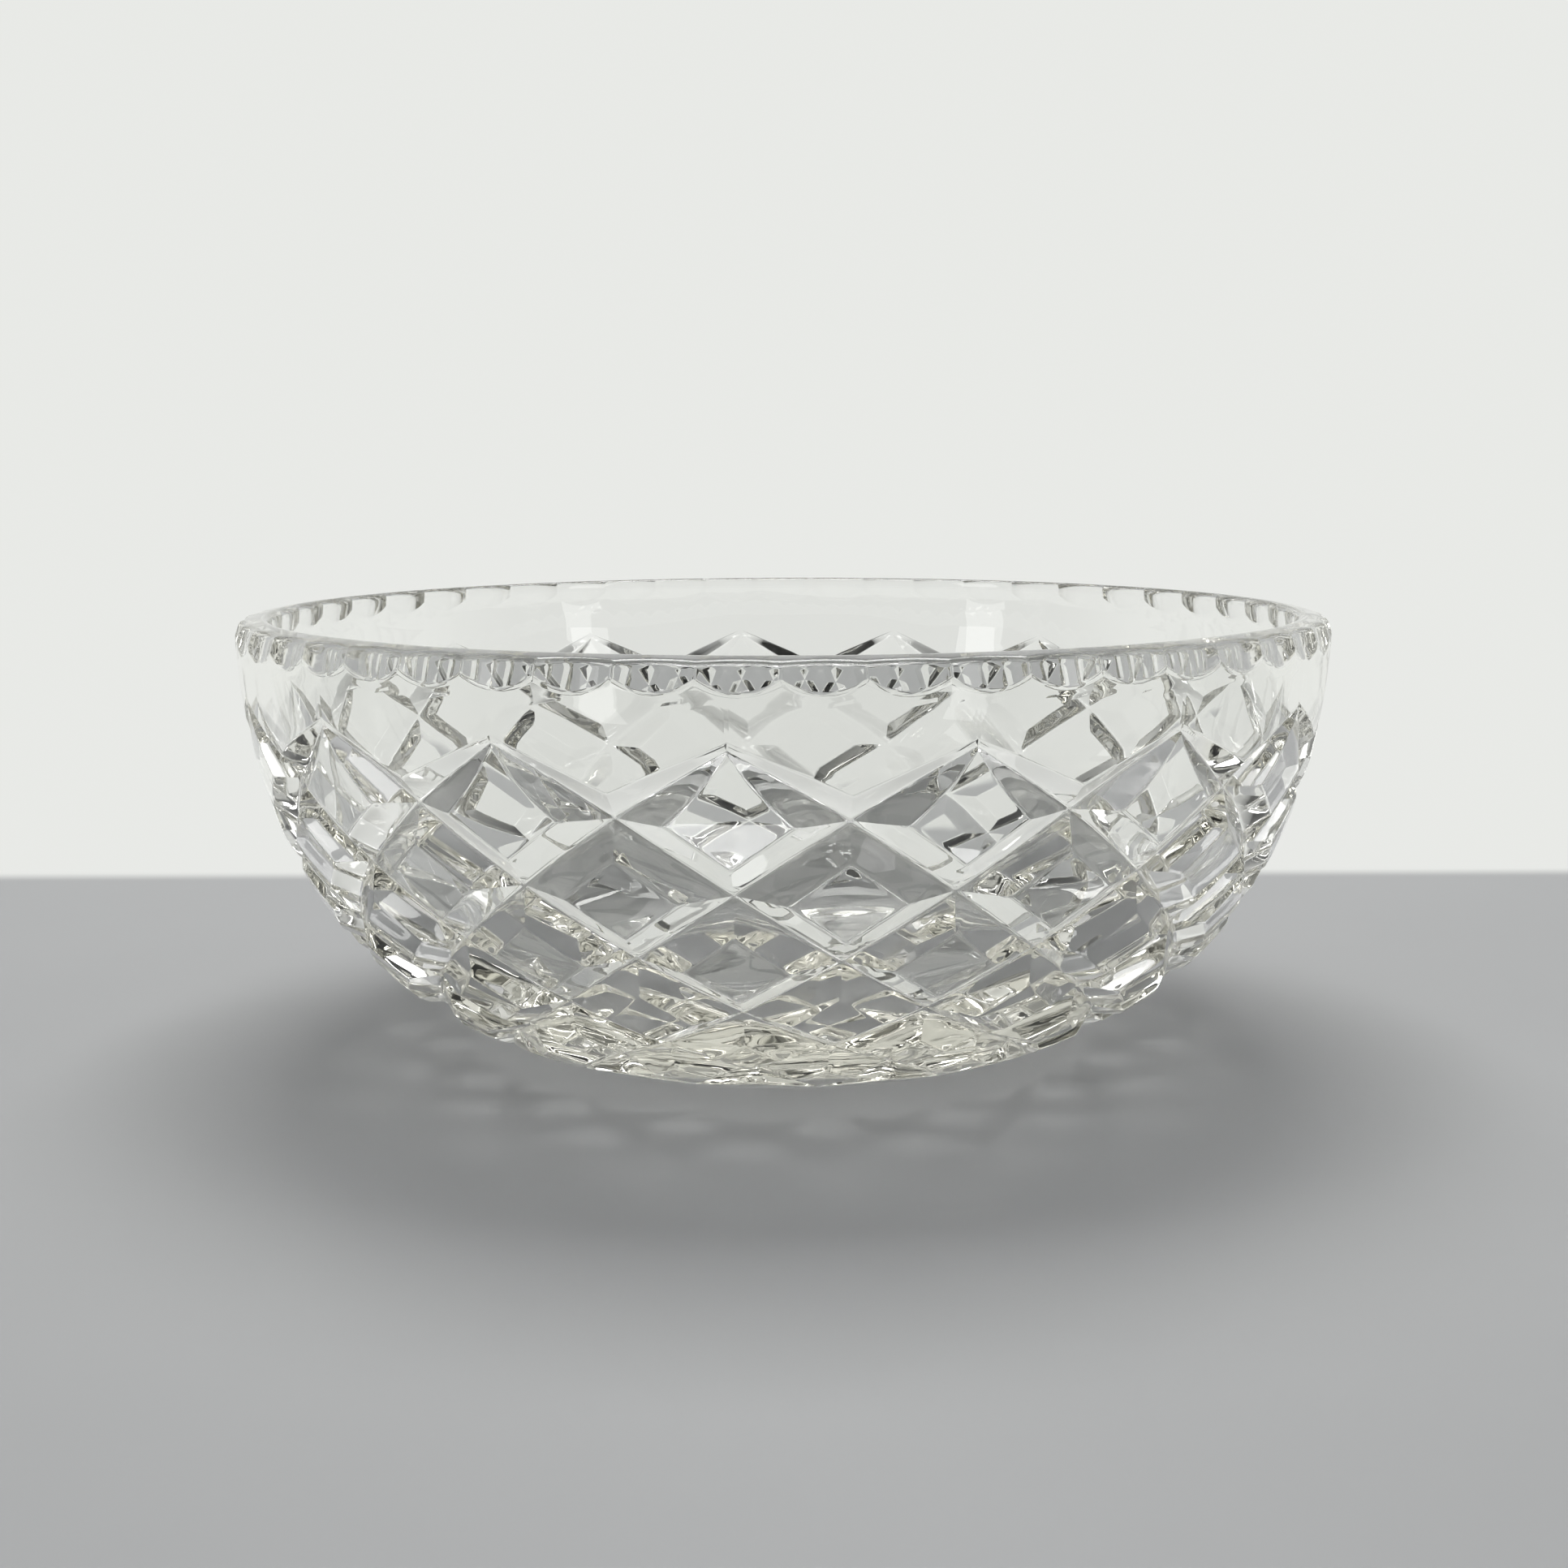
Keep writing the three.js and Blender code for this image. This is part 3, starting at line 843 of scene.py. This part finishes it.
class CUTGLASS_OT_bowl(bpy.types.Operator):
    """Makes the bowl's cut-glass surface in place of the plain solid"""

    bl_idname = "cut_glass.bowl"
    bl_label = "Make Bowl"

    # Rings on the plain band, and the height of each of the two strips between it and the flutes
    PLAIN_ROWS = 7
    BAND_BELOW_FLUTES = 1.2
    # Angle past which an edge stays sharp
    SHARP_DEGREES = 24.0

    def execute(self, context):
        scene = context.scene
        sizes = scene.cut_glass_blank
        blank = Blank(sizes)
        lattice = Lattice(scene.cut_glass_lattice, blank, sizes.base_radius)
        flutes = Flutes(scene.cut_glass_flutes, blank, lattice)
        skin = Skin()
        top_line, foot_line = add_lattice(skin, lattice)
        ring_height = flutes.foot - self.BAND_BELOW_FLUTES
        band_height = ring_height - self.BAND_BELOW_FLUTES
        band_ring = add_plain_band(skin, blank, top_line, band_height, self.PLAIN_ROWS)
        first_ring, inner_ring = add_rim(skin, blank, sizes, flutes, ring_height)
        skin.add_seam(band_ring, first_ring)
        add_inside(skin, blank, sizes, inner_ring)
        add_foot(skin, blank, sizes, foot_line)
        points, triangles = skin.welded()
        piece = mesh_object("crystal_bowl", points, triangles, self.SHARP_DEGREES)
        piece.data.materials.append(crystal_material(scene.cut_glass_crystal))
        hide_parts(NODE)
        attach(piece, BODY)
        return {"FINISHED"}


# The photograph's camera, fitted to the bowl's outline and cuts, in pixels, millimetres and degrees
PHOTO_PIXELS = 1932
FOCAL_PIXELS = 2624.0
SENSOR = 36.0
CAMERA_PLACE = (0.05, -429.5, 117.0)
CAMERA_PITCH = 8.88
CAMERA_ROLL = -0.19
# Where the camera starts to see, in metres
CLIP_START = 0.01


def add_camera(scene):
    """The camera, at the photograph's place and angle."""
    data = bpy.data.cameras.new("camera")
    data.sensor_width = SENSOR
    data.lens = FOCAL_PIXELS / PHOTO_PIXELS * SENSOR
    data.clip_start = CLIP_START
    camera = bpy.data.objects.new("camera", data)
    camera.location = np.array(CAMERA_PLACE) * MM
    camera.rotation_mode = "XYZ"
    tilt = math.radians(90 - CAMERA_PITCH)
    roll = math.radians(CAMERA_ROLL)
    camera.rotation_euler = (tilt, 0.0, 0.0)
    camera.rotation_euler.rotate_axis("Z", roll)
    scene.collection.objects.link(camera)
    scene.camera = camera


def joined(tree, operation, first, second):
    """A socket for two values joined by a Math node's operation."""
    node = tree.nodes.new("ShaderNodeMath")
    node.operation = operation
    tree.links.new(first, node.inputs[0])
    tree.links.new(second, node.inputs[1])
    return node.outputs["Value"]


def smooth_range(tree, value, start, end, first, last):
    """A socket that goes smoothly from the first to the last number as a value goes from start to end."""
    node = tree.nodes.new("ShaderNodeMapRange")
    node.interpolation_type = "SMOOTHSTEP"
    node.inputs["From Min"].default_value = start
    node.inputs["From Max"].default_value = end
    node.inputs["To Min"].default_value = first
    node.inputs["To Max"].default_value = last
    tree.links.new(value, node.inputs["Value"])
    return node.outputs["Result"]


def seen_directly(tree):
    """A socket that is 1 for rays that show the backdrop: from the camera, a reflection or through glass."""
    path = tree.nodes.new("ShaderNodeLightPath")
    mirrored = joined(tree, "MAXIMUM", path.outputs["Is Camera Ray"], path.outputs["Is Glossy Ray"])
    return joined(tree, "MAXIMUM", mirrored, path.outputs["Is Transmission Ray"])


def mixed_shader(tree, factor, first, second):
    """A socket for a shader that goes from the first to the second as a factor goes from 0 to 1."""
    node = tree.nodes.new("ShaderNodeMixShader")
    tree.links.new(factor, node.inputs["Fac"])
    tree.links.new(first, node.inputs[1])
    tree.links.new(second, node.inputs[2])
    return node.outputs["Shader"]


# The floor's mottle, how far it goes from the floor's colour each way, and the paper's roughness
MOTTLE_SCALE = 9.0
MOTTLE_DETAIL = 6.0
MOTTLE_SPREAD = 0.04
PAPER_ROUGHNESS = 0.55
# Half the floor's side and its gap under the foot, in metres
FLOOR_HALF = 6.0
FLOOR_GAP = 0.0003


def floor_material(look):
    """Matt pale paper with a faint mottle, which turns to a bright even backdrop close behind and far
    round."""
    material = bpy.data.materials.new("studio_paper")
    material.use_nodes = True
    tree = material.node_tree
    nodes, links = tree.nodes, tree.links
    coordinates = nodes.new("ShaderNodeTexCoord")
    mottle = noise_level(tree, coordinates, MOTTLE_SCALE, MOTTLE_DETAIL)
    colour = np.array(look.floor_colour)
    tone = tone_between(tree, mottle, colour * (1 - MOTTLE_SPREAD), colour * (1 + MOTTLE_SPREAD))
    paper = nodes["Principled BSDF"]
    paper.inputs["Roughness"].default_value = PAPER_ROUGHNESS
    links.new(tone, paper.inputs["Base Color"])
    lit = nodes.new("ShaderNodeBsdfDiffuse")
    lit.inputs["Color"].default_value = (*look.backdrop_colour, 1.0)
    glow = nodes.new("ShaderNodeEmission")
    glow.inputs["Color"].default_value = (*look.backdrop_colour, 1.0)
    backdrop = mixed_shader(tree, seen_directly(tree), lit.outputs["BSDF"], glow.outputs["Emission"])
    place = nodes.new("ShaderNodeSeparateXYZ")
    links.new(coordinates.outputs["Object"], place.inputs["Vector"])
    end = look.floor_end
    behind = smooth_range(tree, place.outputs["Y"], end, end + look.floor_fade, 0.0, 1.0)
    distance = nodes.new("ShaderNodeVectorMath")
    distance.operation = "LENGTH"
    links.new(coordinates.outputs["Object"], distance.inputs[0])
    reach = look.floor_reach
    around = smooth_range(tree, distance.outputs["Value"], reach, reach + look.reach_fade, 0.0, 1.0)
    turn = joined(tree, "MAXIMUM", behind, around)
    whole = mixed_shader(tree, turn, paper.outputs["BSDF"], backdrop)
    links.new(whole, nodes["Material Output"].inputs["Surface"])
    return material


def add_stage_floor(look):
    """A flat floor just under the bowl's foot, which the material turns to backdrop behind it."""
    sides = ((-1, -1), (1, -1), (1, 1), (-1, 1))
    corners = [(x * FLOOR_HALF, y * FLOOR_HALF, -FLOOR_GAP) for x, y in sides]
    mesh = bpy.data.meshes.new("studio_floor")
    mesh.from_pydata(corners, [], [(0, 1, 2, 3)])
    floor = bpy.data.objects.new("studio_floor", mesh)
    floor.data.materials.append(floor_material(look))
    bpy.context.scene.collection.objects.link(floor)


def add_soft_box(name, place, target, size, power):
    """A rectangular soft box that faces its target."""
    data = bpy.data.lights.new(name, "AREA")
    data.shape = "RECTANGLE"
    data.size, data.size_y = size
    data.energy = power
    lamp = bpy.data.objects.new(name, data)
    place = np.array(place)
    aim = np.array(target) - place
    lamp.location = place
    flat = math.hypot(aim[0], aim[1])
    lamp.rotation_euler = (math.atan2(flat, -aim[2]), 0.0, math.atan2(-aim[0], aim[1]))
    bpy.context.scene.collection.objects.link(lamp)


# Colour of the light from all round, and the ranges of a direction's Y and Z over which the room turns from
# dim to bright towards the back and from bright to dim towards the ceiling
AMBIENT_COLOUR = (0.96, 0.98, 1.0)
FRONT_START, FRONT_END = -0.5, 0.3
CEILING_START, CEILING_END = 0.1, 0.8


def set_world(scene, look):
    """Even soft light from all round. It shows as the backdrop, and in glass it dims to the front and
    overhead."""
    world = bpy.data.worlds.new("studio")
    world.use_nodes = True
    tree = world.node_tree
    nodes, links = tree.nodes, tree.links
    ambient = nodes["Background"]
    ambient.inputs["Color"].default_value = (*AMBIENT_COLOUR, 1.0)
    ambient.inputs["Strength"].default_value = look.ambient
    direction = nodes.new("ShaderNodeTexCoord")
    axes = nodes.new("ShaderNodeSeparateXYZ")
    links.new(direction.outputs["Generated"], axes.inputs["Vector"])
    behind = smooth_range(tree, axes.outputs["Y"], FRONT_START, FRONT_END, look.front_dimming, 1.0)
    level = smooth_range(tree, axes.outputs["Z"], CEILING_START, CEILING_END, 1.0, look.ceiling_dimming)
    room = joined(tree, "MULTIPLY", behind, level)
    path = nodes.new("ShaderNodeLightPath")
    shown = joined(tree, "MAXIMUM", path.outputs["Is Camera Ray"], room)
    backdrop = nodes.new("ShaderNodeBackground")
    backdrop.inputs["Color"].default_value = (*look.backdrop_colour, 1.0)
    links.new(shown, backdrop.inputs["Strength"])
    lights = (ambient.outputs["Background"], backdrop.outputs["Background"])
    links.new(mixed_shader(tree, seen_directly(tree), *lights), nodes["World Output"].inputs["Surface"])
    scene.world = world


class CUTGLASS_OT_stage(bpy.types.Operator):
    """Makes the camera, the floor with its backdrop and the soft studio light"""

    bl_idname = "cut_glass.stage"
    bl_label = "Make Stage"

    # What the soft boxes face, where they stand and the size of those at the side, in metres
    BOWL_MIDDLE = (0.0, 0.0, 0.04)
    TOP_PLACE = (0.0, 0.35, 1.0)
    SIDE_PLACES = {"left_box": (-1.3, -1.0, 0.5), "right_box": (1.3, -1.0, 0.5)}
    SIDE_SIZE = (0.3, 0.8)

    def execute(self, context):
        scene = context.scene
        look = scene.cut_glass_stage
        add_camera(scene)
        add_stage_floor(look)
        top_size = (look.top_size, look.top_size)
        add_soft_box("top_box", self.TOP_PLACE, self.BOWL_MIDDLE, top_size, look.top_power)
        for name, place in self.SIDE_PLACES.items():
            add_soft_box(name, place, self.BOWL_MIDDLE, self.SIDE_SIZE, look.side_power)
        set_world(scene, look)
        scene.view_settings.view_transform = "Standard"
        scene.cycles.max_bounces = 32
        scene.cycles.glossy_bounces = 24
        scene.cycles.transmission_bounces = 32
        return {"FINISHED"}


class CUTGLASS_PT_panel(bpy.types.Panel):
    """Lists the bowl's steps and sizes"""

    bl_idname = "CUTGLASS_PT_panel"
    bl_label = "Cut Glass Bowl"
    bl_space_type = "VIEW_3D"
    bl_region_type = "UI"
    bl_category = "Cut Glass"

    def draw(self, context):
        layout = self.layout
        for operator in (CUTGLASS_OT_bowl, CUTGLASS_OT_stage):
            layout.operator(operator.bl_idname)
        for name in PROPERTY_GROUPS:
            group = getattr(context.scene, name)
            for field in group.bl_rna.properties:
                if not field.is_readonly and field.identifier != "name":
                    layout.prop(group, field.identifier)


PROPERTY_GROUPS = {
    "cut_glass_blank": BlankSizes,
    "cut_glass_lattice": LatticeSizes,
    "cut_glass_flutes": FluteSizes,
    "cut_glass_crystal": CrystalLook,
    "cut_glass_stage": StageLook,
}
CLASSES = (*PROPERTY_GROUPS.values(), CUTGLASS_OT_bowl, CUTGLASS_OT_stage, CUTGLASS_PT_panel)


def register():
    """Registers the classes and hangs the property groups on the scene."""
    for cls in CLASSES:
        bpy.utils.register_class(cls)
    for name, group in PROPERTY_GROUPS.items():
        setattr(bpy.types.Scene, name, bpy.props.PointerProperty(type=group))


def unregister():
    """Takes the property groups off the scene and unregisters the classes."""
    for name in PROPERTY_GROUPS:
        delattr(bpy.types.Scene, name)
    for cls in reversed(CLASSES):
        bpy.utils.unregister_class(cls)


def main():
    """Makes the bowl and its stage."""
    register()
    bpy.ops.cut_glass.bowl()
    bpy.ops.cut_glass.stage()


if __name__ == "__main__":
    main()
